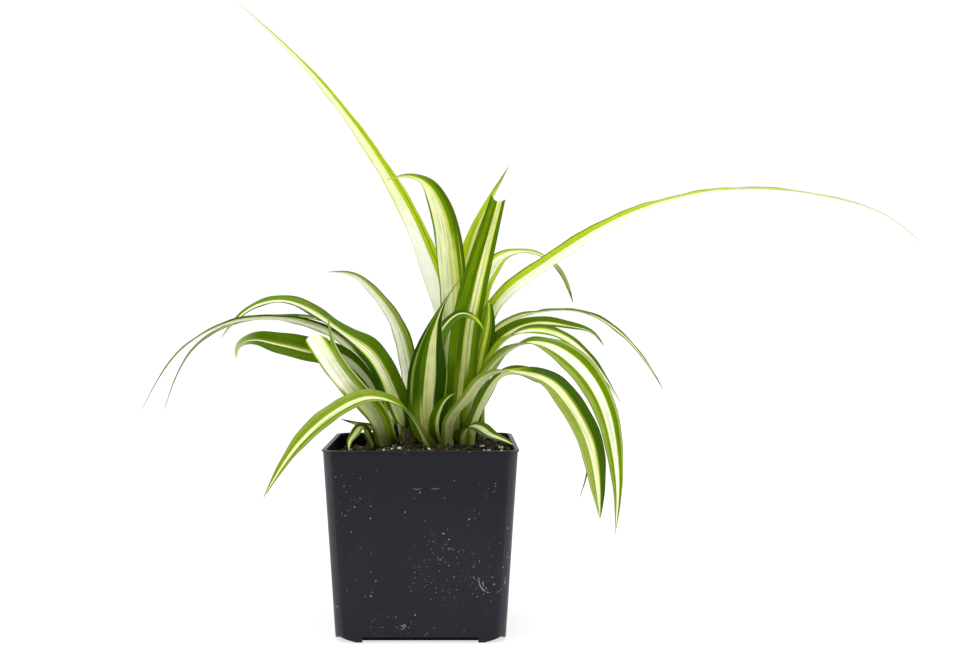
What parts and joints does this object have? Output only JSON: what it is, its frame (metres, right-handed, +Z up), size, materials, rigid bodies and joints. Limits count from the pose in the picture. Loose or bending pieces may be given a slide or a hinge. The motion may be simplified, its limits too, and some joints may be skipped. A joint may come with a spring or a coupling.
{
  "type": "potted spider plant",
  "caption": "Spider plant with long arching cream-and-green striped leaves, growing in soil in a thin black square nursery pot.",
  "frame": {"origin": "middle of the pot's underside, on the surface it stands on", "axes": "+Z up, +X towards the tip of the longest reaching leaf, -Y towards the viewer"},
  "size_m": [0.4197, 0.2003, 0.3342],
  "materials": {
    "pot": "thin black moulded plastic, dusty, with a soft sheen",
    "soil": "dark crumbly peat potting mix with white perlite",
    "crown": "pale firm stem base",
    "leaf": "semi-gloss leaf with a cream middle stripe and green margins",
    "dry_leaf": "dry papery brown"
  },
  "bodies": {
    "root": {"pot": "pot", "soil": "soil", "crown_left": "crown", "crown_middle": "crown", "crown_front": "crown", "crown_right": "crown", "crown_inner": "crown", "crown_back_left": "crown", "crown_back": "crown", "crown_back_right": "crown", "leaf_tall_left": "leaf", "leaf_long_right": "leaf", "leaf_curled_centre": "leaf", "leaf_thin_behind": "leaf", "leaf_cut_upright": "leaf", "leaf_small_hook": "leaf", "leaf_broad_front": "leaf", "leaf_young_front": "leaf", "leaf_front_left": "leaf", "leaf_wide_left": "leaf", "leaf_long_left": "leaf", "leaf_thin_left": "leaf", "leaf_dark_left": "leaf", "leaf_cut_left": "leaf", "leaf_folded_left": "leaf", "leaf_shoot_left": "leaf", "leaf_low_left": "leaf", "leaf_dry_left": "dry_leaf", "leaf_back_left": "leaf", "leaf_right_high": "leaf", "leaf_right_dark": "leaf", "leaf_right_lime": "leaf", "leaf_right_long": "leaf", "leaf_right_front": "leaf", "leaf_right_back": "leaf", "leaf_over_soil": "leaf", "leaf_curl_right": "leaf", "leaf_lime_arch": "leaf", "leaf_low_back_left": "leaf", "leaf_arch_back": "leaf", "leaf_low_back": "leaf", "leaf_low_back_right": "leaf"}
  },
  "joints": []
}
